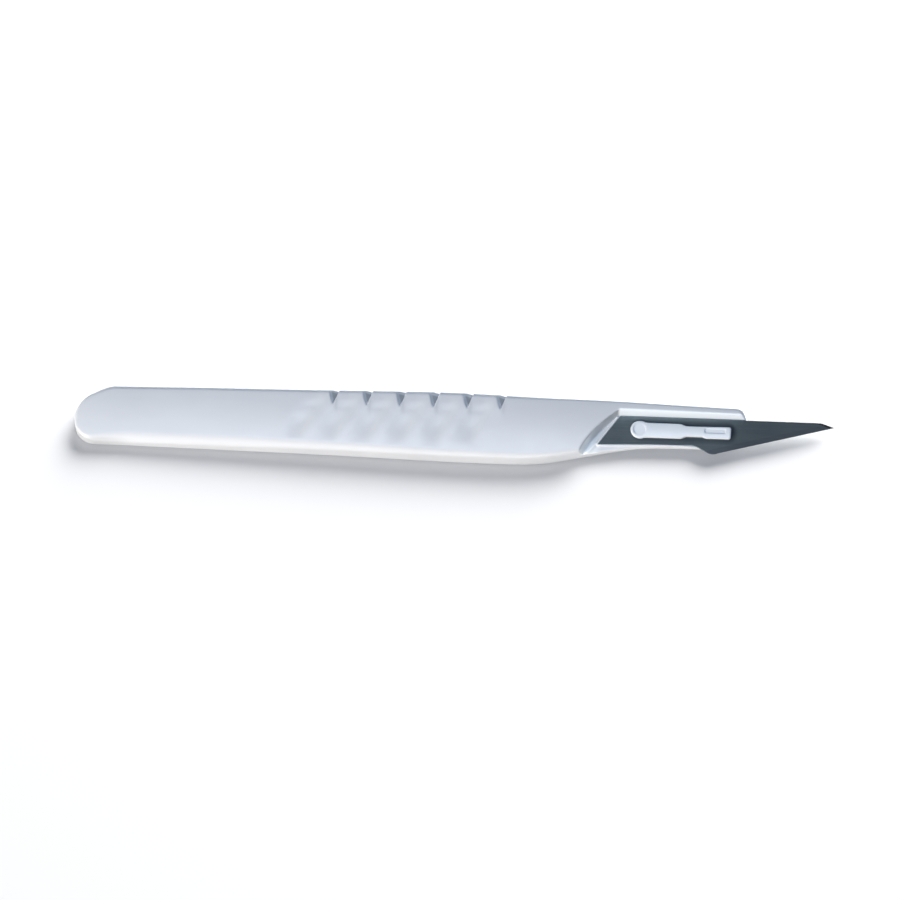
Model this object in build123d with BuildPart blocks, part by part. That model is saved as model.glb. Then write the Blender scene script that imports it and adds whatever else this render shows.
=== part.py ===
from build123d import *
import math
import os

# Disposable scalpel: a moulded plastic handle with a pointed steel blade staked on its tongue.
# Millimetres. X runs along the handle from the tail to the blade's point, Y towards the back of the blade,
# Z up from the flat face that the handle lies on. The origin is under the middle of the whole object.

os.makedirs("parts", exist_ok=True)

# ---- driving dimensions ----
TAIL_X = -66.6            # rounded tail of the handle
POINT_X = 66.6            # point of the blade
HALF_WIDTH = 5.9          # half of the widest part of the handle, at the grip
TONGUE_END_X = 51.3       # end of the tongue and of its rail
TONGUE_TOP_Z = 2.1        # face that the blade lies on
TONGUE_UNDER_Z = 0.9      # underside of the tongue
CROWN = 0.65              # drop of the handle's upper face from its middle to 7 mm out
TOP_EDGE_R = 0.9          # rounding of the upper long edges
UNDER_EDGE_R = 0.5        # rounding of the lower long edges
BOSS_EDGE_R = 0.14        # rounding of the staked boss

BLADE_T = 0.4             # steel strip
BLADE_TOP_Z = TONGUE_TOP_Z + BLADE_T
SPINE_Y = 3.12            # back of the blade
TAIL_LOW = (25.40, -2.10) # ends of the slanted tail of the blade
TAIL_HIGH = (29.08, SPINE_Y)
GRIND_WIDTH = 0.9         # width of the ground bevel along the cutting edge
GRIND_DEPTH = 0.17        # how much of the thickness each bevel takes
TIP_GRIND_WIDTH = 0.40    # the same for the back of the point
TIP_GRIND_DEPTH = 0.14
SLOT_CY = 0.62            # middle line of the slot
SLOT_WIDE = 2.84          # slot width over its wide part
SLOT_NARROW = 2.02        # slot width over its narrow part
SLOT_START_X = 31.2
SLOT_STEP_X = 39.75       # where the wide part begins to taper
SLOT_NECK_X = 40.75       # where the narrow part begins
SLOT_END_X = 48.35
BOSS_GAP = 0.06           # boss to slot wall
BOSS_TOP_Z = 3.0          # top of the staked boss
HEAD_R = 1.64             # round staked head
HEAD_X, HEAD_Y = 32.55, 0.66

SCOOP_COUNT = 6
SCOOP_LOW, SCOOP_LOW_PITCH = (-27.45, -2.10), 6.02     # low end of the first scoop, and the pitch of the low ends
SCOOP_HIGH = (-24.60, 2.70)   # its high end, near the back edge
SCOOP_R = 8.0
SCOOP_DEPTH_LOW = 0.25
SCOOP_DEPTH_HIGH = 0.17
NOTCH_PITCH = 5.87        # notches, and the high ends of the scoops
NOTCH_X = -21.33          # first notch in the back edge
NOTCH_TIP_Y = 2.60        # where it runs out on the upper face
NOTCH_FORM = [(-2.50, 1.0), (0.86, -1.58), (0.95, -1.58), (1.03, 1.0)]   # its section near the back edge, from its crest line

# height of the middle of the upper face, from tail to tongue
STATIONS = [(-70.0, 3.00), (-55.0, 3.66), (-38.0, 4.28), (-20.0, 4.72), (0.0, 4.90), (18.0, 4.84), (34.0, 4.50), (54.0, 3.80)]


def upper_z(x, y=0.0):
    for (x0, z0), (x1, z1) in zip(STATIONS, STATIONS[1:]):
        if x0 <= x <= x1:
            return z0 + (z1 - z0) * (x - x0) / (x1 - x0) - CROWN * (y / 7.0) ** 2
    return STATIONS[-1][1]


# ---- outline of the handle seen from above ----
BACK_EDGE = [
    (-60.0, 5.37), (-45.0, 5.46), (-30.0, 5.53), (-15.0, 5.72), (-1.0, HALF_WIDTH),
    (8.0, 5.72), (16.0, 5.45), (28.0, 5.33), (40.0, 5.08), (49.1, 4.94),
]
FRONT_EDGE = [
    (-63.0, -4.87), (-48.0, -5.02), (-32.0, -5.22), (-16.0, -5.50), (0.0, -5.84), (8.0, -HALF_WIDTH),
    (12.5, -5.82), (16.5, -5.42), (22.0, -4.34), (27.0, -3.32), (31.0, -2.66), (35.5, -2.30), (41.0, -2.20), (47.6, -2.20),
]

# the pocket that bares the tongue: the shoulder at its left is a gently bowed wall, the rail behind it a steep one
POCKET_TOP_Z = 6.0
SHOULDER_Y = [-8.0, -4.5, -1.5, 1.2]
RAIL_FOOT_Y = 3.20        # foot of the rail's wall, at TONGUE_TOP_Z
RAIL_TOP_Y = (4.09, 4.53) # the same wall at POCKET_TOP_Z, at the shoulder and beyond the tongue's end
SHOULDER_FOOT, SHOULDER_TOP = 0.10, -0.25   # the shoulder wall leans back by this, at the same two heights
RIM_RISE = 0.28           # low rim on the tongue round the blade's tail and lower edge
RIM_GAP, RIM_OUT = 0.07, 0.42


def shoulder(y, lean):
    return (24.86 + 0.87 * y + 0.05 * y * y + lean, y)


with BuildPart() as handle:
    # body with a crowned upper face that thins towards the tail and towards the blade
    for x, z_mid in STATIONS:
        with BuildSketch(Plane.YZ.offset(x)):
            with BuildLine():
                Line((-7.0, -2.0), (7.0, -2.0))
                Line((7.0, -2.0), (7.0, z_mid - CROWN))
                ThreePointArc((7.0, z_mid - CROWN), (0.0, z_mid), (-7.0, z_mid - CROWN))
                Line((-7.0, z_mid - CROWN), (-7.0, -2.0))
            make_face()
    loft()
    # underside: flat to lie on, then a ramp up to the tongue
    with BuildSketch(Plane.XZ.offset(-10.0)):
        with BuildLine():
            FilletPolyline((-80.0, 0.0), (19.0, 0.0), (34.0, TONGUE_UNDER_Z), (60.0, TONGUE_UNDER_Z), radius=60.0)
            Polyline((60.0, TONGUE_UNDER_Z), (60.0, 9.0), (-80.0, 9.0), (-80.0, 0.0))
        make_face()
    extrude(amount=20.0, mode=Mode.INTERSECT)
    # outline
    with BuildSketch(Plane.XY.offset(-1.0)):
        with BuildLine():
            Spline(*BACK_EDGE, tangents=[(1.0, 0.0), (1.0, -0.015)])
            ThreePointArc((49.1, 4.94), (50.65, 4.38), (TONGUE_END_X, 3.2))
            Line((TONGUE_END_X, 3.2), (TONGUE_END_X, 1.3))
            ThreePointArc((TONGUE_END_X, 1.3), (50.2, -1.18), (47.6, -2.20))
            Spline(*FRONT_EDGE, tangents=[(1.0, 0.0), (1.0, 0.0)])
            ThreePointArc((-63.0, -4.87), (-65.55, -3.82), (TAIL_X, -1.27))
            Line((TAIL_X, -1.27), (TAIL_X, -1.07))
            Spline((TAIL_X, -1.07), (-66.22, 1.25), (-65.05, 2.84), (-63.0, 4.20), (-60.0, 5.37), tangents=[(0.0, 1.0), (1.0, 0.12)])
        make_face()
    extrude(amount=8.0, mode=Mode.INTERSECT)
    # rounded long edges
    fillet(handle.faces().sort_by(Axis.Z)[-1].edges(), radius=TOP_EDGE_R)
    under_edges = handle.edges().filter_by(
        lambda e: e.center().Z < 1.0 and not (abs(e.tangent_at(0.5).Y) > 0.95 and 10.0 < e.center().X < 46.0) and abs(e.tangent_at(0.5).Z) < 0.5
    )
    fillet(under_edges, radius=UNDER_EDGE_R)

    # pocket: leaves the tongue, the slanted shoulder and the rail behind the blade
    for z, lean, left_y, right_y in ((TONGUE_TOP_Z, SHOULDER_FOOT, RAIL_FOOT_Y, RAIL_FOOT_Y), (POCKET_TOP_Z, SHOULDER_TOP, *RAIL_TOP_Y)):
        with BuildSketch(Plane.XY.offset(z)):
            with BuildLine():
                wall = [shoulder(y, lean) for y in SHOULDER_Y + [left_y]]
                Spline(*wall)
                Polyline(wall[-1], (58.0, right_y), (58.0, -8.0), wall[0])
            make_face()
    loft(ruled=True, mode=Mode.SUBTRACT)
    # rim on the tongue
    tail_dir = (Vector(*TAIL_HIGH) - Vector(*TAIL_LOW)).normalized()
    tail_out = Vector(-tail_dir.Y, tail_dir.X)
    low, high = Vector(*TAIL_LOW), Vector(*TAIL_HIGH) - tail_dir * 0.35
    with BuildSketch(Plane.XY.offset(TONGUE_TOP_Z - 0.2)):
        with BuildLine():
            Polyline(high + tail_out * RIM_OUT, low + tail_out * RIM_OUT)
            ThreePointArc(low + tail_out * RIM_OUT, low + (tail_out + Vector(0, -1)).normalized() * RIM_OUT, low + Vector(0, -RIM_OUT))
            Polyline(
                low + Vector(0, -RIM_OUT), (34.8, -1.78 - RIM_OUT + 0.06), (41.0, -2.12), (41.0, -1.73 - RIM_GAP), (34.8, -1.78 - RIM_GAP),
                low + (tail_out + Vector(0, -1)) * RIM_GAP * 2.0, high + tail_out * RIM_GAP, high + tail_out * RIM_OUT,
            )
        make_face()
        # it runs on past the blade's tail to the front edge
        with BuildLine():
            spur = tail_out * 0.17
            start, end = low + tail_out * 0.22, low - tail_dir * 1.75 + tail_out * 0.50
            Polyline(start + spur, start - spur, end - spur, end + spur, close=True)
        make_face()
    extrude(amount=RIM_RISE + 0.2)
    # sloped end of the rail
    with BuildSketch(Plane.XZ.offset(-10.0)):
        with BuildLine():
            Polyline((TONGUE_END_X + 1.0, TONGUE_TOP_Z - 0.3), (TONGUE_END_X + 1.0, 6.0), (49.0, 6.0), (50.35, 3.8), (TONGUE_END_X + 0.02, TONGUE_TOP_Z - 0.3), close=True)
        make_face()
    extrude(amount=20.0, mode=Mode.SUBTRACT)

    # boss: the part inside the slot stands clear of the steel, the staked part above lies over its edges
    with BuildSketch(Plane.XY.offset(TONGUE_TOP_Z - 0.2)):
        with BuildLine():
            wide, narrow = SLOT_WIDE / 2 - BOSS_GAP, SLOT_NARROW / 2 - BOSS_GAP
            Polyline(
                (SLOT_START_X + 1.5, SLOT_CY + wide), (SLOT_STEP_X, SLOT_CY + wide), (SLOT_NECK_X, SLOT_CY + narrow),
                (SLOT_END_X - BOSS_GAP, SLOT_CY + narrow), (SLOT_END_X - BOSS_GAP, SLOT_CY - narrow), (SLOT_NECK_X, SLOT_CY - narrow),
                (SLOT_STEP_X, SLOT_CY - wide), (SLOT_START_X + 1.5, SLOT_CY - wide),
            )
            ThreePointArc((SLOT_START_X + 1.5, SLOT_CY - wide), (SLOT_START_X + 1.5 - wide, SLOT_CY), (SLOT_START_X + 1.5, SLOT_CY + wide))
        make_face()
    extrude(amount=BLADE_T + 0.2)
    with BuildSketch(Plane.XY.offset(BLADE_TOP_Z)):
        with Locations((HEAD_X, HEAD_Y)):
            Circle(HEAD_R)
        with BuildLine():
            Polyline(
                (HEAD_X, 1.98), (39.55, 1.96), (40.85, 1.55), (43.7, 1.58), (48.3, 1.66),
                (48.55, 1.40), (48.5, -0.30), (48.2, -0.58), (44.0, -0.60), (43.6, -0.32), (40.85, -0.30), (39.7, -0.70), (HEAD_X, -0.76), close=True
            )
        make_face()
    extrude(amount=BOSS_TOP_Z - BLADE_TOP_Z)
    fillet(handle.faces().sort_by_distance((36.0, 0.6, BOSS_TOP_Z))[0].edges(), radius=BOSS_EDGE_R)
    # shallow sunk marks of the staking punch, in the head and in the end block
    with BuildSketch(Plane.XY.offset(BOSS_TOP_Z - 0.12)):
        with Locations((HEAD_X - 0.05, HEAD_Y)):
            Circle(HEAD_R - 0.58)
        with Locations((45.75, 0.80)):
            RectangleRounded(3.6, 0.84, 0.25)
    extrude(amount=1.0, mode=Mode.SUBTRACT)

    # finger scoops, each slanted and round at both ends
    for k in range(SCOOP_COUNT):
        low = (SCOOP_LOW[0] + k * SCOOP_LOW_PITCH, SCOOP_LOW[1])
        high = (SCOOP_HIGH[0] + k * NOTCH_PITCH, SCOOP_HIGH[1])
        a = Vector(low[0], low[1], upper_z(*low) + SCOOP_R - SCOOP_DEPTH_LOW)
        b = Vector(high[0], high[1], upper_z(*high) + SCOOP_R - SCOOP_DEPTH_HIGH)
        across = Plane(origin=a, x_dir=b - a, z_dir=(b - a).cross(Vector(0, 0, 1)))
        run = (b - a).length
        with BuildSketch(across):
            with BuildLine():
                ThreePointArc((-SCOOP_R, 0.0), (-SCOOP_R * math.sqrt(0.5), -SCOOP_R * math.sqrt(0.5)), (0.0, -SCOOP_R))
                Line((0.0, -SCOOP_R), (run, -SCOOP_R))
                ThreePointArc((run, -SCOOP_R), (run + SCOOP_R * math.sqrt(0.5), -SCOOP_R * math.sqrt(0.5)), (run + SCOOP_R, 0.0))
                Line((run + SCOOP_R, 0.0), (-SCOOP_R, 0.0))
            make_face()
        revolve(axis=Axis(a, b - a), mode=Mode.SUBTRACT)

    # notches in the back edge: they run out to a point on the upper face, and are steep on the blade side
    for k in range(SCOOP_COUNT):
        x = NOTCH_X + k * NOTCH_PITCH
        z = upper_z(x, NOTCH_TIP_Y)
        for y, grow in ((NOTCH_TIP_Y, 0.02), (7.0, 1.53)):
            with BuildSketch(Plane.XZ.offset(-y)):
                with BuildLine():
                    Polyline(*[(x + grow * u, z + grow * w) for u, w in NOTCH_FORM], close=True)
                make_face()
        loft(ruled=True, mode=Mode.SUBTRACT)

handle.part.label = "handle"
export_step(handle.part, "parts/handle.step")

# ---- blade ----
KINK = (64.45, SPINE_Y)
POINT = (POINT_X, 2.36)
HEEL_FRONT = (46.35, -3.11)

with BuildPart() as blade:
    with BuildSketch(Plane.XY.offset(TONGUE_TOP_Z)):
        with BuildLine():
            Polyline(TAIL_LOW, TAIL_HIGH, KINK, POINT, HEEL_FRONT)
            ThreePointArc(HEEL_FRONT, (45.35, -3.33), (44.42, -3.05))
            Line((44.42, -3.05), (43.25, -2.40))
            ThreePointArc((43.25, -2.40), (42.25, -1.92), (41.0, -1.73))
            Polyline((41.0, -1.73), (34.8, -1.78), TAIL_LOW)
        make_face()
        # slot: wide and round at the tail end, then narrow
        with BuildLine():
            wide, narrow = SLOT_WIDE / 2, SLOT_NARROW / 2
            Polyline(
                (SLOT_START_X + 1.5, SLOT_CY + wide), (SLOT_STEP_X, SLOT_CY + wide), (SLOT_NECK_X, SLOT_CY + narrow),
                (SLOT_END_X, SLOT_CY + narrow), (SLOT_END_X, SLOT_CY - narrow), (SLOT_NECK_X, SLOT_CY - narrow),
                (SLOT_STEP_X, SLOT_CY - wide), (SLOT_START_X + 1.5, SLOT_CY - wide),
            )
            ThreePointArc((SLOT_START_X + 1.5, SLOT_CY - wide), (SLOT_START_X + 1.5 - wide, SLOT_CY), (SLOT_START_X + 1.5, SLOT_CY + wide))
        make_face(mode=Mode.SUBTRACT)
    extrude(amount=BLADE_T)

    # ground bevels on both sides of the cutting edge, and short ones behind the point
    for start, end, width, depth, back in ((HEEL_FRONT, POINT, GRIND_WIDTH, GRIND_DEPTH, 1.0), (KINK, POINT, TIP_GRIND_WIDTH, TIP_GRIND_DEPTH, -1.0)):
        along = (Vector(*end) - Vector(*start)).normalized()
        inward = Vector(-along.Y * back, along.X * back, 0)
        for side in (1.0, -1.0):
            face_z = TONGUE_TOP_Z + BLADE_T / 2 + side * BLADE_T / 2
            section = Plane(origin=(start[0], start[1], face_z), x_dir=inward, z_dir=inward.cross(Vector(0, 0, 1)))
            slope = side * depth / width
            with BuildSketch(section):
                with BuildLine():
                    Polyline((width, 0.0), (width, side * 0.5), (-1.0, side * 0.5), (-1.0, -depth * side - slope), close=True)
                make_face()
            extrude(amount=26.0, both=True, mode=Mode.SUBTRACT)

blade.part.label = "blade"
export_step(blade.part, "parts/blade.step")

print("handle", round(handle.part.volume, 1), handle.part.bounding_box())
print("blade", round(blade.part.volume, 2), blade.part.bounding_box())
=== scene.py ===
import math

import bmesh
import bpy
import numpy as np
from mathutils import Matrix, Vector


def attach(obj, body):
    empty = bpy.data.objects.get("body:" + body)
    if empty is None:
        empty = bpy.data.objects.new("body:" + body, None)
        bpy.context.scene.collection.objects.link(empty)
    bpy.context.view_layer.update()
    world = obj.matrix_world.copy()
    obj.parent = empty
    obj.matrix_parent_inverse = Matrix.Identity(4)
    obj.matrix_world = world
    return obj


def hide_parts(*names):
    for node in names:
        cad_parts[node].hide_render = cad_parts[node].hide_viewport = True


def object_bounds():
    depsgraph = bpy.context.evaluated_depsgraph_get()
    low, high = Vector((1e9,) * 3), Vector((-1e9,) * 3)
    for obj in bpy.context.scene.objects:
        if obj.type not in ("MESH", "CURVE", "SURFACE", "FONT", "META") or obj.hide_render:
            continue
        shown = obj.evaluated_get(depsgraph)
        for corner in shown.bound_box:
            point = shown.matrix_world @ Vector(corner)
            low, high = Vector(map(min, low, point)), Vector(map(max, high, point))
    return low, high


# The looks of a disposable scalpel: a white moulded handle with finger scoops and notches, and a dark steel blade.
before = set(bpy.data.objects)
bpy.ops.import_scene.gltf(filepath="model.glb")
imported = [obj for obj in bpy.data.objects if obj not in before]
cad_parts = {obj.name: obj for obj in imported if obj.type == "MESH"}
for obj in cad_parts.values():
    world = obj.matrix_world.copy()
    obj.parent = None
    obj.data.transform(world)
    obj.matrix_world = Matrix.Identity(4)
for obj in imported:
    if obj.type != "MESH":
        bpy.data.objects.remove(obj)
cad_box = [list(map(float, c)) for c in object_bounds()]
MM = 0.001

# ------------------------------------------------------------------------------------------------
# the handle's form, in millimetres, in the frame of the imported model
# ------------------------------------------------------------------------------------------------
STATIONS = [(-70.0, 3.00), (-55.0, 3.66), (-38.0, 4.28), (-20.0, 4.72), (0.0, 4.90), (18.0, 4.84), (34.0, 4.50), (54.0, 3.80)]
CROWN, CROWN_HALF = 0.65, 7.0
CROWN_R = (CROWN_HALF**2 + CROWN**2) / (2 * CROWN)
TONGUE_TOP, TONGUE_UNDER = 2.1, 0.9
TONGUE_END = 51.3
BACK_EDGE = [
    (-60.0, 5.37), (-45.0, 5.46), (-30.0, 5.53), (-15.0, 5.72), (-1.0, 5.90),
    (8.0, 5.72), (16.0, 5.45), (28.0, 5.33), (40.0, 5.08), (49.1, 4.94),
]
FRONT_EDGE = [
    (-63.0, -4.87), (-48.0, -5.02), (-32.0, -5.22), (-16.0, -5.50), (0.0, -5.84), (8.0, -5.90),
    (12.5, -5.82), (16.5, -5.42), (22.0, -4.34), (27.0, -3.32), (31.0, -2.66), (35.5, -2.30), (41.0, -2.20), (47.6, -2.20),
]


def spline(points, d0, d1, n):
    """Points along the smooth curve through the given points, with the directions given at its ends."""
    p = np.array(points, float)
    t = np.concatenate([[0.0], np.cumsum(np.hypot(*(p[1:] - p[:-1]).T))])
    h = np.diff(t)
    m = len(p)
    a = np.zeros((m, m))
    b = np.zeros((m, 2))
    a[0, 0] = a[-1, -1] = 1.0
    b[0] = np.array(d0, float) / np.hypot(*d0)
    b[-1] = np.array(d1, float) / np.hypot(*d1)
    for i in range(1, m - 1):
        a[i, i - 1], a[i, i], a[i, i + 1] = h[i], 2 * (h[i - 1] + h[i]), h[i - 1]
        b[i] = 3 * (h[i] * (p[i] - p[i - 1]) / h[i - 1] + h[i - 1] * (p[i + 1] - p[i]) / h[i])
    d = np.linalg.solve(a, b)
    s = np.linspace(0, t[-1], n)
    k = np.clip(np.searchsorted(t, s, side="right") - 1, 0, m - 2)
    u = ((s - t[k]) / h[k])[:, None]
    hk = h[k][:, None]
    return (
        (2 * u**3 - 3 * u**2 + 1) * p[k] + (u**3 - 2 * u**2 + u) * hk * d[k]
        + (-2 * u**3 + 3 * u**2) * p[k + 1] + (u**3 - u**2) * hk * d[k + 1]
    )


def arc(p0, p1, p2, n):
    """Points along the circle through three points, from the first to the last."""
    (ax, ay), (bx, by), (cx, cy) = p0, p1, p2
    d = 2 * (ax * (by - cy) + bx * (cy - ay) + cx * (ay - by))
    ux = ((ax**2 + ay**2) * (by - cy) + (bx**2 + by**2) * (cy - ay) + (cx**2 + cy**2) * (ay - by)) / d
    uy = ((ax**2 + ay**2) * (cx - bx) + (bx**2 + by**2) * (ax - cx) + (cx**2 + cy**2) * (bx - ax)) / d
    a0, a1, a2 = (math.atan2(y - uy, x - ux) for x, y in (p0, p1, p2))
    turn = (a2 - a0) % (2 * math.pi)
    if (a1 - a0) % (2 * math.pi) > turn:
        turn -= 2 * math.pi
    r = math.hypot(ax - ux, ay - uy)
    ang = a0 + turn * np.linspace(0, 1, n)
    return np.stack([ux + r * np.cos(ang), uy + r * np.sin(ang)], 1)


OUTLINE = np.concatenate([
    spline(BACK_EDGE, (1, 0), (1, -0.015), 150)[:-1],
    arc((49.1, 4.94), (50.65, 4.38), (TONGUE_END, 3.2), 14)[:-1],
    np.array([(TONGUE_END, 3.2)]),
    arc((TONGUE_END, 1.3), (50.2, -1.18), (47.6, -2.20), 22)[:-1],
    spline(FRONT_EDGE, (1, 0), (1, 0), 170)[::-1][:-1],
    arc((-63.0, -4.87), (-65.55, -3.82), (-66.6, -1.27), 26),
    spline([(-66.6, -1.07), (-66.35, 0.55), (-65.80, 1.80), (-64.83, 2.95), (-63.0, 4.19), (-60.0, 5.37)], (0, 1), (1, 0.14), 48)[:-1],
])


def polygon_distance(px, py, poly):
    """Signed distance in the plane to a closed polygon, negative inside."""
    a = poly
    b = np.roll(poly, -1, 0)
    best = np.full(px.shape, 1e9)
    inside = np.zeros(px.shape, bool)
    for (ax, ay), (bx, by) in zip(a, b):
        ex, ey = bx - ax, by - ay
        wx, wy = px - ax, py - ay
        t = np.clip((wx * ex + wy * ey) / max(ex * ex + ey * ey, 1e-12), 0, 1)
        best = np.minimum(best, (wx - t * ex) ** 2 + (wy - t * ey) ** 2)
        if ay != by:
            cross = (ay > py) != (by > py)
            inside ^= cross & (px < ax + (py - ay) * ex / ey)
    best = np.sqrt(best)
    return np.where(inside, -best, best)


class Table:
    """A signed distance in the plane kept on a fine grid and read between its points."""

    def __init__(self, poly, lo, hi, step):
        self.lo, self.step = lo, step
        xs = np.arange(lo[0], hi[0] + step, step)
        ys = np.arange(lo[1], hi[1] + step, step)
        gx, gy = np.meshgrid(xs, ys, indexing="ij")
        self.t = polygon_distance(gx, gy, poly)

    def __call__(self, x, y):
        u = np.clip((x - self.lo[0]) / self.step, 0, self.t.shape[0] - 1.001)
        v = np.clip((y - self.lo[1]) / self.step, 0, self.t.shape[1] - 1.001)
        i, j = u.astype(int), v.astype(int)
        u, v = u - i, v - j
        t = self.t
        return (t[i, j] * (1 - u) + t[i + 1, j] * u) * (1 - v) + (t[i, j + 1] * (1 - u) + t[i + 1, j + 1] * u) * v


outline = Table(OUTLINE, (-67.6, -7.0), (52.4, 7.0), 0.12)
_sx = np.array([s[0] for s in STATIONS])
_line = spline(STATIONS, (1, 0.05), (1, -0.04), 600)


def top_z(x, y):
    return np.interp(x, _line[:, 0], _line[:, 1]) - 0.004 - (CROWN_R - np.sqrt(CROWN_R**2 - np.clip(y, -9, 9) ** 2))


def under_z(x):
    """Underside: flat, then a gentle ramp to the tongue."""
    slope = TONGUE_UNDER / 15.0
    half = 60.0 * math.tan(math.atan(slope) / 2)
    ramp = np.clip((x - 19.0) * slope, 0.0, TONGUE_UNDER)
    e0 = np.where(np.abs(x - 19.0) < half, (x - 19.0 + half) ** 2 / (2 * 60.0), 0.0)
    e1 = np.where(np.abs(x - 34.0) < half, -((34.0 + half - x) ** 2) / (2 * 60.0), 0.0)
    return np.where(np.abs(x - 19.0) < half, e0, np.where(np.abs(x - 34.0) < half, TONGUE_UNDER + e1, ramp))


def meet(a, b, r):
    """What is inside both, with the edge between them rounded to radius r."""
    return np.minimum(-r, np.maximum(a, b)) + np.sqrt(np.maximum(a + r, 0) ** 2 + np.maximum(b + r, 0) ** 2)


def join(a, b, r):
    return -meet(-a, -b, r)


# the pocket behind the blade: the shoulder is a gently bowed wall, the rail a steep one
def shoulder_x(y):
    return 24.86 + 0.87 * y + 0.05 * y * y


def pocket(x, y, z):
    f = (z - TONGUE_TOP) / 3.9
    lean = 0.52 - 1.03 * f
    wall = (shoulder_x(y) + lean - x) / np.sqrt(1 + (0.87 + 0.10 * y) ** 2)
    rise = 0.89 + 0.44 * np.clip((x - 29.0) / 29.0, 0, 1)
    rail = (y - 3.20 - f * rise) * 0.97
    floor = TONGUE_TOP - z
    return meet(meet(wall, rail, 0.15), floor, 0.14)


# the blade's outline behind and below its slot, and the low rim that follows it on the tongue
TAIL_LOW, TAIL_HIGH = (25.40, -2.10), (29.08, 3.12)
BLADE_PART = np.concatenate([
    np.array([TAIL_LOW, TAIL_HIGH, (56.0, 3.12), (56.0, -0.6), (46.35, -3.11), (44.42, -3.05), (43.25, -2.40)]),
    arc((43.25, -2.40), (42.25, -1.92), (41.0, -1.73), 8)[1:],
    np.array([(34.8, -1.78)]),
])
blade_table = Table(BLADE_PART, (23.4, -4.0), (51.5, 4.4), 0.05)


def rim(x, y, z):
    d = blade_table(x, y)
    across = np.abs(d - 0.245) - 0.175
    across = np.maximum(across, y - 3.05)
    crest = TONGUE_TOP + 0.28 * np.clip((42.4 - x) / 2.6, 0, 1)
    # it runs on past the blade's tail to the front edge, as a soft ridge
    ax, ay, bx, by = 24.98, -1.98, 23.36, -3.95
    t = np.clip(((x - ax) * (bx - ax) + (y - ay) * (by - ay)) / ((bx - ax) ** 2 + (by - ay) ** 2), 0, 1)
    off = np.hypot(x - ax - t * (bx - ax), y - ay - t * (by - ay))
    ridge = z - (TONGUE_TOP - 0.08 + 0.34 * np.exp(-((off / 0.40) ** 2)))
    ridge = np.maximum(ridge, off - 0.9)
    return join(meet(across, z - crest, 0.13), ridge, 0.06)


# the staked boss
SLOT_CY, WIDE, NARROW = 0.62, 1.42 - 0.06, 1.01 - 0.06
STEM = np.concatenate([
    np.array([(32.7, SLOT_CY + WIDE), (39.75, SLOT_CY + WIDE), (40.75, SLOT_CY + NARROW), (48.29, SLOT_CY + NARROW),
              (48.29, SLOT_CY - NARROW), (40.75, SLOT_CY - NARROW), (39.75, SLOT_CY - WIDE)]),
    arc((32.7, SLOT_CY - WIDE), (32.7 - WIDE, SLOT_CY), (32.7, SLOT_CY + WIDE), 30)[:-1],
])
STAKED = np.array([
    (32.55, 1.98), (39.3, 1.97), (39.7, 1.93), (40.5, 1.62), (40.95, 1.555), (43.7, 1.58), (48.15, 1.66), (48.42, 1.58),
    (48.55, 1.36), (48.5, -0.28), (48.40, -0.48), (48.15, -0.58), (44.15, -0.60), (43.85, -0.52), (43.6, -0.34), (43.3, -0.31),
    (40.95, -0.30), (40.6, -0.36), (40.0, -0.62), (39.5, -0.71), (32.55, -0.76),
])
stem_table = Table(STEM, (29.6, -2.6), (50.4, 4.2), 0.05)
staked_table = Table(STAKED, (29.6, -2.6), (50.4, 4.2), 0.05)


def boss(x, y, z):
    stem = np.maximum(stem_table(x, y), np.maximum(z - 2.7, 1.8 - z))
    head = np.hypot(x - 32.55, y - 0.66) - 1.64
    flat = np.minimum(head, staked_table(x, y))
    flat = join(head, staked_table(x, y), 0.25)
    crown = 3.0 - 0.13 * np.clip((y - np.interp(x, [40.0, 41.0], [0.63, 0.60])) / 1.3, -1.3, 1.3) ** 2
    cap = meet(meet(flat, z - crown, 0.20), 2.5 - z, 0.02)
    punch = np.hypot(x - 32.50, y - 0.66) - 1.06
    qx, qy = np.abs(x - 45.75) - 1.8 + 0.25, np.abs(y - 0.80) - 0.42 + 0.25
    plate = np.sqrt(np.maximum(qx, 0) ** 2 + np.maximum(qy, 0) ** 2) + np.minimum(np.maximum(qx, qy), 0) - 0.25
    marks = np.maximum(np.minimum(punch, plate), 2.89 - z)
    return np.minimum(stem, meet(cap, -marks, 0.08))


# finger scoops and notches
COUNT, PITCH, LOW_PITCH = 6, 5.87, 6.05
NOTCH_X, NOTCH_TIP_Y = -21.33, 2.60
NOTCH_FORM = [(-2.50, 1.0), (0.86, -1.58), (0.95, -1.58), (1.03, 1.0)]


def smooth_line(t, points):
    """A smooth curve through the values, flat at each of them."""
    at, value = np.array(points).T
    k = np.clip(np.searchsorted(at, t, side="right") - 1, 0, len(at) - 2)
    u = np.clip((t - at[k]) / (at[k + 1] - at[k]), 0, 1)
    return value[k] + (value[k + 1] - value[k]) * u * u * (3 - 2 * u)


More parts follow.
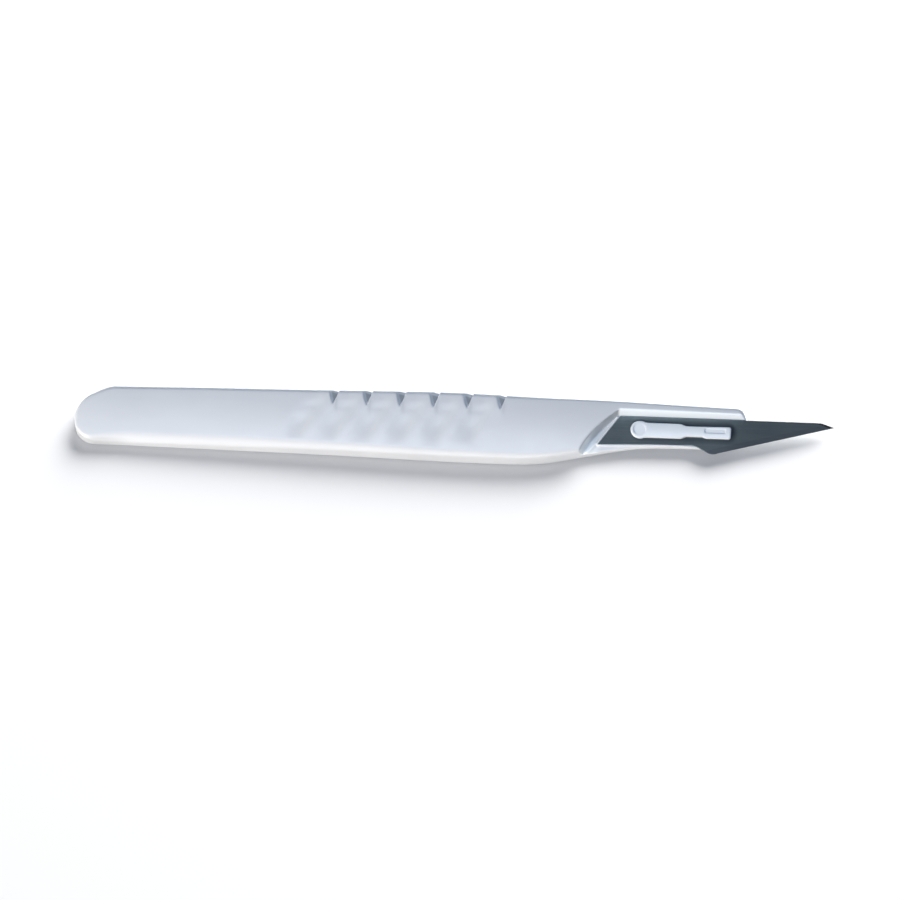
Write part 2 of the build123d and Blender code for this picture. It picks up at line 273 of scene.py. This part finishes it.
# how far each scoop sinks the face, on a fine grid: its deepest line leans, with a long slope towards the tail and a
# short one towards the blade, and it runs out low down at the front and softly at the notch
SCOOP_AXIS = [(-4.3, -27.75), (-1.9, -27.15), (1.2, -25.50), (4.2, -23.80)]
SCOOP_DEPTH = [(-4.9, 0.0), (-0.5, 0.28), (2.0, 0.20), (4.1, 0.05), (6.3, 0.03)]
SLOPE_LONG, SLOPE_SHORT = 3.1, 1.8
gx, gy = np.meshgrid(np.arange(-33.0, 17.0, 0.06), np.arange(-6.2, 6.2, 0.06), indexing="ij")
axis_y, axis_x = np.array(SCOOP_AXIS).T
deepest = np.polyval(np.polyfit(axis_y, axis_x, 3), np.clip(gy, -4.6, 5.0))
dips = np.zeros(gx.shape)
for k in range(COUNT):
    pitch = LOW_PITCH + (PITCH - LOW_PITCH) * np.clip((gy + 4.3) / 8.5, 0, 1)
    s = gx - deepest - k * pitch
    s = np.where(s < 0, s / SLOPE_LONG, s / SLOPE_SHORT)
    dips = np.maximum(dips, np.clip(1 - s * s, 0, 1) ** 1.6 * smooth_line(gy, SCOOP_DEPTH))
# the face swells a little up to each notch
for k in range(COUNT):
    s = gx - NOTCH_X - k * PITCH
    swell = smooth_line(s, [(-9.0, 0.0), (-3.3, 0.0), (-1.05, 1.0), (0.1, 1.0), (0.8, 0.0), (9.0, 0.0)])
    dips = dips - 0.11 * swell * smooth_line(gy, [(-7.0, 0.0), (0.4, 0.0), (3.9, 1.0), (4.6, 1.0), (6.3, 0.3)])
for axis in (0, 1):
    for _ in range(14):
        dips = 0.5 * dips + 0.25 * (np.roll(dips, 1, axis) + np.roll(dips, -1, axis))
scoop_dip = Table.__new__(Table)
scoop_dip.lo, scoop_dip.step, scoop_dip.t = (-33.0, -6.2), 0.06, dips


def notches(x, y, z):
    d = np.full(np.broadcast(x, y, z).shape, 9.0)
    run = (7.0 - NOTCH_TIP_Y) / 1.53
    for k in range(COUNT):
        x0 = NOTCH_X + k * PITCH
        z0 = float(top_z(x0, NOTCH_TIP_Y))
        tip = np.array([x0, NOTCH_TIP_Y, z0])
        corners = [np.array([u, run, w]) for u, w in NOTCH_FORM]
        planes = []
        for i in range(3):
            n = np.cross(corners[i], corners[i + 1])
            n = n / np.linalg.norm(n)
            if n @ (corners[(i + 2) % 4] - corners[i]) > 0:
                n = -n
            planes.append(n[0] * (x - tip[0]) + n[1] * (y - tip[1]) + n[2] * (z - tip[2]))
        v = meet(meet(planes[0], planes[1], 0.05), planes[2], 0.12)
        d = np.minimum(d, v)
    return d


def handle_form(x, y, z):
    fuller = np.clip((2.0 - y) / 4.0, 0, 1)
    fuller = fuller * fuller * (3 - 2 * fuller)
    in_grip = (x > -32.8) & (x < 16.8)
    face = top_z(x, y) - (np.where(in_grip, scoop_dip(x, y), 0.0) if in_grip.any() else 0.0)
    edge = np.interp(x, [-66.6, -62.0, 10.0, 21.0], [0.45, 0.9, 0.9, 0.55])
    body = meet(outline(x, y), z - face, edge + fuller * np.interp(x, [-65.0, -58.0, -40.0, 4.0], [0.0, 0.72, 0.70, 0.0]))
    body = meet(body, -notches(x, y, z), 0.06)
    near = (x > 22.0) & (x < 42.8) & (z < 2.9)
    raised = np.where(near, join(-pocket(x, y, z), np.where(near, np.maximum(rim(x, y, z), TONGUE_TOP - 0.3 - z), 9.0), 0.10), -pocket(x, y, z))
    tail_end = (x - 50.35) * 0.8998 + (z - 3.8) * 0.4364
    body = meet(body, tail_end, 0.25)
    body = meet(body, raised, 0.20)
    body = meet(body, under_z(x) - z, 0.5)
    near = (x > 29.5) & (x < 50.3)
    if near.any():
        body = np.where(near, join(body, np.where(near, boss(x, y, z), 9.0), 0.04), body)
    return body


# ------------------------------------------------------------------------------------------------
# a closed mesh of that form
# ------------------------------------------------------------------------------------------------
def graded(spans):
    out = [spans[0][0]]
    for lo, hi, step in spans:
        n = max(1, round((hi - lo) / step))
        out += list(lo + (hi - lo) * (np.arange(n) + 1) / n)
    return np.array(out)


def surface_mesh(form, xs, ys, zs):
    """Vertices and quads of the zero surface of form over a box grid, each vertex moved onto the surface."""
    nx, ny, nz = len(xs), len(ys), len(zs)
    f = np.empty((nx, ny, nz))
    for i in range(0, nx, 64):
        gx, gy, gz = np.meshgrid(xs[i:i + 64], ys, zs, indexing="ij")
        f[i:i + 64] = form(gx, gy, gz)
    s = f < 0
    count = np.zeros((nx - 1, ny - 1, nz - 1))
    total = np.zeros((nx - 1, ny - 1, nz - 1, 3))
    grid = [xs, ys, zs]
    shape = (nx - 1, ny - 1, nz - 1)
    for axis in range(3):
        a = [slice(None)] * 3
        b = [slice(None)] * 3
        a[axis], b[axis] = slice(0, -1), slice(1, None)
        fa, fb = f[tuple(a)], f[tuple(b)]
        hit = s[tuple(a)] != s[tuple(b)]
        t = np.where(hit, fa / np.where(hit, fa - fb, 1.0), 0.0)
        others = [k for k in range(3) if k != axis]
        for du in (0, 1):
            for dv in (0, 1):
                pick = [slice(None)] * 3
                pick[others[0]] = slice(du, shape[others[0]] + du)
                pick[others[1]] = slice(dv, shape[others[1]] + dv)
                h, tt = hit[tuple(pick)], t[tuple(pick)]
                count += h
                idx = np.nonzero(h)
                tv = tt[idx]
                g0 = grid[axis][idx[axis]]
                g1 = grid[axis][idx[axis] + 1]
                total[idx[0], idx[1], idx[2], axis] += g0 + tv * (g1 - g0)
                for k, dk in zip(others, (du, dv)):
                    total[idx[0], idx[1], idx[2], k] += grid[k][idx[k] + dk]
    active = count > 0
    ids = np.full(shape, -1, np.int64)
    ids[active] = np.arange(active.sum())
    verts = total[active] / count[active][:, None]
    quads = []
    for axis in range(3):
        a = [slice(None)] * 3
        b = [slice(None)] * 3
        a[axis], b[axis] = slice(0, -1), slice(1, None)
        sa, sb = s[tuple(a)], s[tuple(b)]
        o1, o2 = (axis + 1) % 3, (axis + 2) % 3
        inner = [slice(None)] * 3
        inner[o1], inner[o2] = slice(1, -1), slice(1, -1)
        hit = (sa != sb)[tuple(inner)]
        idx = np.array(np.nonzero(hit))
        idx[o1] += 1
        idx[o2] += 1
        way = sa[tuple(idx)]

        def cell(d1, d2):
            q = idx.copy()
            q[o1] += d1
            q[o2] += d2
            return ids[tuple(q)]

        c = np.stack([cell(-1, -1), cell(0, -1), cell(0, 0), cell(-1, 0)], 1)
        c[~way] = c[~way][:, ::-1]
        quads.append(c)
    quads = np.concatenate(quads)
    for _ in range(3):
        verts = verts - step_to(form, verts)
    return verts, quads


def gradient(form, v, e=0.015):
    g = np.empty_like(v)
    for k in range(3):
        p, q = v.copy(), v.copy()
        p[:, k] += e
        q[:, k] -= e
        g[:, k] = (form(*p.T) - form(*q.T)) / (2 * e)
    return g


def step_to(form, v):
    g = gradient(form, v)
    n2 = (g**2).sum(1)
    move = (form(*v.T) / np.maximum(n2, 0.25))[:, None] * g
    size = np.linalg.norm(move, axis=1, keepdims=True)
    return move * np.minimum(1.0, 0.08 / np.maximum(size, 1e-9))


# the grid is shifted a little, so that no narrow place falls between its points and pinches the mesh
xs = graded([(-67.0, -58.0, 0.22), (-58.0, -31.0, 0.55), (-31.0, 14.0, 0.19), (14.0, 20.0, 0.26), (20.0, 51.9, 0.166)]) + 0.05
ys = graded([(-6.3, 6.3, 0.168)]) + 0.02
zs = graded([(-0.45, 1.7, 0.2), (1.7, 5.3, 0.15)]) + 0.02
verts, quads = surface_mesh(handle_form, xs, ys, zs)
verts = np.clip(verts, np.array(cad_box[0]) * 1000, np.array(cad_box[1]) * 1000)
print("handle mesh", len(verts), "vertices", len(quads), "quads")

handle_mesh = bpy.data.meshes.new("handle_moulding")
handle_mesh.vertices.add(len(verts))
handle_mesh.vertices.foreach_set("co", (verts * MM).astype(np.float32).ravel())
handle_mesh.loops.add(len(quads) * 4)
handle_mesh.loops.foreach_set("vertex_index", quads.ravel().astype(np.int32))
handle_mesh.polygons.add(len(quads))
handle_mesh.polygons.foreach_set("loop_start", (np.arange(len(quads)) * 4).astype(np.int32))
handle_mesh.polygons.foreach_set("loop_total", np.full(len(quads), 4, np.int32))
handle_mesh.polygons.foreach_set("use_smooth", np.ones(len(quads), bool))
handle_mesh.update(calc_edges=True)
handle_mesh.validate()
handle = bpy.data.objects.new("handle_moulding", handle_mesh)
bpy.context.scene.collection.objects.link(handle)


# ------------------------------------------------------------------------------------------------
# materials
# ------------------------------------------------------------------------------------------------
def material(name):
    m = bpy.data.materials.new(name)
    m.use_nodes = True
    nodes, links = m.node_tree.nodes, m.node_tree.links
    nodes.clear()
    out = nodes.new("ShaderNodeOutputMaterial")
    shader = nodes.new("ShaderNodeBsdfPrincipled")
    links.new(shader.outputs["BSDF"], out.inputs["Surface"])
    return m, nodes, links, shader


def coords(nodes, links, scale):
    c = nodes.new("ShaderNodeTexCoord")
    m = nodes.new("ShaderNodeMapping")
    m.inputs["Scale"].default_value = scale
    links.new(c.outputs["Object"], m.inputs["Vector"])
    return m.outputs["Vector"]


def ramp(nodes, links, value, stops):
    r = nodes.new("ShaderNodeValToRGB")
    el = r.color_ramp.elements
    while len(el) < len(stops):
        el.new(0.5)
    for e, (p, c) in zip(el, stops):
        e.position = p
        e.color = c if len(c) == 4 else (*c, 1.0)
    links.new(value, r.inputs["Fac"])
    return r.outputs["Color"]


def noise(nodes, links, vec, scale, detail=3.0, rough=0.5):
    n = nodes.new("ShaderNodeTexNoise")
    n.inputs["Scale"].default_value = scale
    n.inputs["Detail"].default_value = detail
    n.inputs["Roughness"].default_value = rough
    links.new(vec, n.inputs["Vector"])
    return n.outputs["Fac"]


def math_node(op, a, b=None, c=None):
    n = nodes.new("ShaderNodeMath")
    n.operation = op
    for i, v in enumerate((a, b, c)):
        if v is None:
            continue
        if isinstance(v, float):
            n.inputs[i].default_value = v
        else:
            links.new(v, n.inputs[i])
    return n.outputs[0]


def fade(value, start, end, low=0.0, high=1.0):
    """From low at start to high at end, smoothly."""
    m = nodes.new("ShaderNodeMapRange")
    m.interpolation_type = "SMOOTHSTEP"
    for name, v in (("From Min", start), ("From Max", end), ("To Min", low), ("To Max", high)):
        m.inputs[name].default_value = v
    links.new(value, m.inputs["Value"])
    return m.outputs["Result"]


def product(*values):
    out = values[0]
    for v in values[1:]:
        out = math_node("MULTIPLY", out, v)
    return out


# moulded plastic: slight cloudiness in the colour, fine orange peel and flow in the gloss
plastic, nodes, links, shader = material("moulded_plastic")
vec = coords(nodes, links, (1.0, 1.0, 1.0))
flow = coords(nodes, links, (0.35, 1.0, 1.0))
cloud = noise(nodes, links, flow, 160.0, 3.0, 0.55)
clouded = ramp(nodes, links, cloud, [(0.30, (0.597, 0.628, 0.662)), (0.70, (0.633, 0.662, 0.692))])
# painted shade: the colour is greyer down in the notches and on the end of the tail; painted light: it is lighter and
# cooler on the rail's wall and the boss, and lighter at the low end of the shoulder
where = nodes.new("ShaderNodeSeparateXYZ")
links.new(vec, where.inputs["Vector"])
px, py, pz = where.outputs["X"], where.outputs["Y"], where.outputs["Z"]
under_face = math_node("SUBTRACT", math_node("MULTIPLY_ADD", math_node("MULTIPLY", py, py), 13.16, pz), math_node("MULTIPLY", math_node("MINIMUM", px, 0.0), 0.009))
# painted shade: the base colour is scaled darker down in the notches
notch_shade = product(
    fade(under_face, 0.00476, 0.00448), fade(pz, 0.0026, 0.0030), fade(py, 0.0026, 0.0029), fade(py, 0.0053, 0.0050),
    fade(px, -0.0240, -0.0232), fade(px, 0.0101, 0.0095),
)
# painted shade: the base colour is scaled darker on the end wall of the tail, dimming its highlight
tail_shade = product(fade(px, -0.0540, -0.0625), fade(pz, 0.0031, 0.0026))
shade_by = math_node("MULTIPLY", math_node("MULTIPLY_ADD", notch_shade, -0.33, 1.0), math_node("MULTIPLY_ADD", tail_shade, -0.17, 1.0))
on_rail = product(fade(px, 0.0285, 0.0291), fade(py, 0.0027, 0.0030), fade(py, 0.00400, 0.00372), fade(pz, 0.0022, 0.0024))
on_boss = product(fade(px, 0.0300, 0.0306), fade(px, 0.0497, 0.0492), fade(py, 0.0027, 0.0024), fade(pz, 0.00252, 0.00262))
shoulder_low = product(
    fade(px, 0.0200, 0.0210), fade(px, 0.0260, 0.0240), fade(py, 0.0004, -0.0022), fade(py, -0.0044, -0.0041),
    fade(pz, 0.0018, 0.0020), fade(pz, 0.0044, 0.0041),
)
# painted light: the rail's wall and, more weakly, the boss are mixed towards a lighter, cooler colour
painted_light_mix = nodes.new("ShaderNodeMix")
painted_light_mix.data_type = "RGBA"
links.new(math_node("ADD", on_rail, math_node("MULTIPLY", on_boss, 0.36)), painted_light_mix.inputs["Factor"])
links.new(clouded, painted_light_mix.inputs["A"])
painted_light_mix.inputs["B"].default_value = (0.735, 0.815, 0.880, 1.0)
toned = nodes.new("ShaderNodeVectorMath")
toned.operation = "SCALE"
links.new(painted_light_mix.outputs["Result"], toned.inputs[0])
links.new(shade_by, toned.inputs["Scale"])
# painted light: the low end of the shoulder wall is mixed towards a lighter colour
painted_light_shoulder = nodes.new("ShaderNodeMix")
painted_light_shoulder.data_type = "RGBA"
links.new(shoulder_low, painted_light_shoulder.inputs["Factor"])
links.new(toned.outputs["Vector"], painted_light_shoulder.inputs["A"])
painted_light_shoulder.inputs["B"].default_value = (0.840, 0.892, 0.915, 1.0)
links.new(painted_light_shoulder.outputs["Result"], shader.inputs["Base Color"])
gloss = noise(nodes, links, vec, 420.0, 4.0, 0.6)
links.new(ramp(nodes, links, gloss, [(0.30, (0.30, 0.30, 0.30)), (0.72, (0.40, 0.40, 0.40))]), shader.inputs["Roughness"])
shader.inputs["IOR"].default_value = 1.55
shader.inputs["Specular IOR Level"].default_value = 0.5
peel = noise(nodes, links, vec, 1500.0, 2.0, 0.5)
bump = nodes.new("ShaderNodeBump")
bump.inputs["Strength"].default_value = 0.06
bump.inputs["Distance"].default_value = 0.00004
links.new(peel, bump.inputs["Height"])
links.new(bump.outputs["Normal"], shader.inputs["Normal"])
handle_mesh.materials.append(plastic)

# heat-treated strip steel: blue-grey, with fine grinding lines
steel, nodes, links, shader = material("blade_strip_steel")
along = coords(nodes, links, (60.0, 4200.0, 1.0))
for n in nodes:
    if n.type == "MAPPING":
        n.inputs["Rotation"].default_value = (0.0, 0.0, -math.radians(14.9))
grind = noise(nodes, links, along, 1.0, 4.0, 0.6)
vec = coords(nodes, links, (1.0, 1.0, 1.0))
tone = noise(nodes, links, vec, 260.0, 3.0, 0.6)
mix = nodes.new("ShaderNodeMix")
mix.data_type = "FLOAT"
mix.inputs["Factor"].default_value = 0.35
links.new(grind, mix.inputs["A"])
links.new(tone, mix.inputs["B"])
base = ramp(nodes, links, mix.outputs["Result"], [(0.26, (0.150, 0.201, 0.234)), (0.74, (0.214, 0.275, 0.305))])


# painted shade: the strip is darker round the punched slot, where the staked boss stands on it
split = nodes.new("ShaderNodeSeparateXYZ")
links.new(vec, split.inputs["Vector"])
along_x = math_node("SUBTRACT", split.outputs["X"], math_node("MINIMUM", math_node("MAXIMUM", split.outputs["X"], 0.0327), 0.0476))
across_y = math_node("SUBTRACT", split.outputs["Y"], 0.00062)
away = math_node("SQRT", math_node("ADD", math_node("MULTIPLY", along_x, along_x), math_node("MULTIPLY", across_y, across_y)))
shade = nodes.new("ShaderNodeMapRange")
shade.interpolation_type = "SMOOTHSTEP"
shade.inputs["From Min"].default_value = 0.0014
shade.inputs["From Max"].default_value = 0.0024
shade.inputs["To Min"].default_value = 0.42
shade.inputs["To Max"].default_value = 1.0
links.new(away, shade.inputs["Value"])
slot_shade_mix = nodes.new("ShaderNodeMix")
slot_shade_mix.data_type = "RGBA"
links.new(shade.outputs["Result"], slot_shade_mix.inputs["Factor"])
slot_shade_mix.inputs["A"].default_value = (0.045, 0.062, 0.080, 1.0)
links.new(base, slot_shade_mix.inputs["B"])


def band(px, py, nx, ny, width, soft):
    """1 on the ground bevel inside the edge through (px, py), 0 beyond it."""
    inside = math_node("ADD", math_node("MULTIPLY", math_node("SUBTRACT", split.outputs["X"], px), nx), math_node("MULTIPLY", math_node("SUBTRACT", split.outputs["Y"], py), ny))
    m = nodes.new("ShaderNodeMapRange")
    m.inputs["From Min"].default_value = width
    m.inputs["From Max"].default_value = width - soft
    links.new(inside, m.inputs["Value"])
    return m.outputs["Result"]


# painted shade: the ground bevel along the cutting edge is mixed towards a darker blue, and the small facet at the
# point darker still
edge = band(0.04635, -0.00311, -0.26079, 0.96540, 0.00092, 0.00008)
tip = band(0.06445, 0.00312, -0.33328, -0.94283, 0.00042, 0.00005)
ground = nodes.new("ShaderNodeMix")
ground.data_type = "RGBA"
links.new(math_node("MULTIPLY", edge, 0.40), ground.inputs["Factor"])
links.new(slot_shade_mix.outputs["Result"], ground.inputs["A"])
ground.inputs["B"].default_value = (0.105, 0.120, 0.165, 1.0)
tip_shade_mix = nodes.new("ShaderNodeMix")
tip_shade_mix.data_type = "RGBA"
links.new(math_node("MULTIPLY", tip, 0.80), tip_shade_mix.inputs["Factor"])
links.new(ground.outputs["Result"], tip_shade_mix.inputs["A"])
tip_shade_mix.inputs["B"].default_value = (0.050, 0.055, 0.062, 1.0)
# it is a little paler from the tail to the heel than towards the point
paler = nodes.new("ShaderNodeMapRange")
paler.interpolation_type = "SMOOTHSTEP"
paler.inputs["From Min"].default_value = 0.0445
paler.inputs["From Max"].default_value = 0.0515
paler.inputs["To Min"].default_value = 1.26
paler.inputs["To Max"].default_value = 1.0
links.new(split.outputs["X"], paler.inputs["Value"])
scaled = nodes.new("ShaderNodeVectorMath")
scaled.operation = "SCALE"
links.new(tip_shade_mix.outputs["Result"], scaled.inputs[0])
links.new(paler.outputs["Result"], scaled.inputs["Scale"])
links.new(scaled.outputs["Vector"], shader.inputs["Base Color"])
links.new(ramp(nodes, links, grind, [(0.25, (0.30, 0.30, 0.30)), (0.75, (0.48, 0.48, 0.48))]), shader.inputs["Roughness"])
shader.inputs["Metallic"].default_value = 0.70
bump = nodes.new("ShaderNodeBump")
bump.inputs["Strength"].default_value = 0.25
bump.inputs["Distance"].default_value = 0.00001
links.new(grind, bump.inputs["Height"])
links.new(bump.outputs["Normal"], shader.inputs["Normal"])
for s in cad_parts["blade"].material_slots:
    s.material = steel

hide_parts("handle")
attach(handle, "root")

# ------------------------------------------------------------------------------------------------
# floor, light and camera
# ------------------------------------------------------------------------------------------------
floor_mesh = bpy.data.meshes.new("floor")
b = bmesh.new()
bmesh.ops.create_grid(b, x_segments=1, y_segments=1, size=6.0)
b.to_mesh(floor_mesh)
b.free()
floor = bpy.data.objects.new("floor", floor_mesh)
bpy.context.scene.collection.objects.link(floor)
floor.location.z = -0.00002
paper, nodes, links, shader = material("pale_floor")
shader.inputs["Base Color"].default_value = (0.90, 0.90, 0.905, 1.0)
shader.inputs["Roughness"].default_value = 0.9
shader.inputs["Specular IOR Level"].default_value = 0.1
floor_mesh.materials.append(paper)

scene = bpy.context.scene
scene.view_settings.view_transform = "Standard"
scene.view_settings.look = "None"
world = bpy.data.worlds.new("studio")
world.use_nodes = True
world.node_tree.nodes["Background"].inputs["Color"].default_value = (0.68, 0.78, 1.0, 1.0)
world.node_tree.nodes["Background"].inputs["Strength"].default_value = 0.19
scene.world = world


def area(name, where, target, size, energy, colour=(1, 1, 1), shadow=True, size_y=None):
    light = bpy.data.lights.new(name, "AREA")
    light.shape = "RECTANGLE" if size_y else "DISK"
    light.size = size
    if size_y:
        light.size_y = size_y
    light.energy = energy
    light.color = colour
    light.use_shadow = shadow
    o = bpy.data.objects.new(name, light)
    scene.collection.objects.link(o)
    o.location = where
    o.rotation_euler = (Vector(target) - Vector(where)).to_track_quat("-Z", "Y").to_euler()
    return o


def place(azimuth, elevation, distance):
    """Where a light stands, its azimuth measured from the front towards the left."""
    a, e = math.radians(azimuth), math.radians(elevation)
    return (-math.sin(a) * math.cos(e) * distance, -math.cos(a) * math.cos(e) * distance, math.sin(e) * distance)


def lights_only(light, name, objects):
    """The light falls on these objects alone, while everything still casts a shadow in it."""
    group = bpy.data.collections.new(name)
    for o in objects:
        group.objects.link(o)
    light.light_linking.receiver_collection = group


the_object = [handle] + list(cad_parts.values())
lights_only(area("key", place(47, 28, 0.9), (0, 0, 0), 0.34, 9.5, (1.0, 0.905, 0.80)), "by_key", the_object)
lights_only(area("front_low", place(28, 9, 0.9), (0, 0, 0), 0.50, 1.9, (1.0, 0.94, 0.89)), "by_front", [handle])
lights_only(area("top_soft", place(180, 87, 0.9), (0, 0, 0), 0.42, 2.95, (0.66, 0.80, 1.0)), "by_top", [handle])
lights_only(area("rim_soft", place(185, 30, 0.9), (0, 0, 0), 0.60, 0.28, (0.70, 0.86, 1.0)), "by_rim", [handle])
lights_only(area("floor_soft", place(207, 30, 1.2), (0, 0, 0), 1.15, 31.0, (1.0, 0.995, 0.985)), "by_floor", [floor])
lights_only(area("floor_fill", place(10, 60, 0.9), (0, 0, 0), 0.8, 2.2, (1.0, 0.995, 0.985), shadow=False), "by_floor_fill", [floor])

K = 0.1756 * MM
ELEVATION, AZIMUTH = math.radians(70.0), math.radians(2.18)
right = Vector((math.cos(AZIMUTH), math.sin(AZIMUTH), 0))
ahead = Vector((-math.sin(AZIMUTH), math.cos(AZIMUTH), 0))
centre = Vector((0, 1.45 * MM, 0)) + right * (-4.5 * K) + ahead * (-26.0 * K / math.sin(ELEVATION))
DISTANCE = 0.9
view = (ahead * math.cos(ELEVATION) - Vector((0, 0, 1)) * math.sin(ELEVATION)).normalized()
camera_data = bpy.data.cameras.new("camera")
camera_data.sensor_width = 36.0
camera_data.lens = 36.0 * DISTANCE / (900 * K)
camera_data.clip_start = 0.01
camera = bpy.data.objects.new("camera", camera_data)
scene.collection.objects.link(camera)
camera.location = centre - view * DISTANCE
up = right.cross(view)
camera.matrix_world = Matrix((
    (right.x, up.x, -view.x, camera.location.x),
    (right.y, up.y, -view.y, camera.location.y),
    (right.z, up.z, -view.z, camera.location.z),
    (0, 0, 0, 1),
))
scene.camera = camera
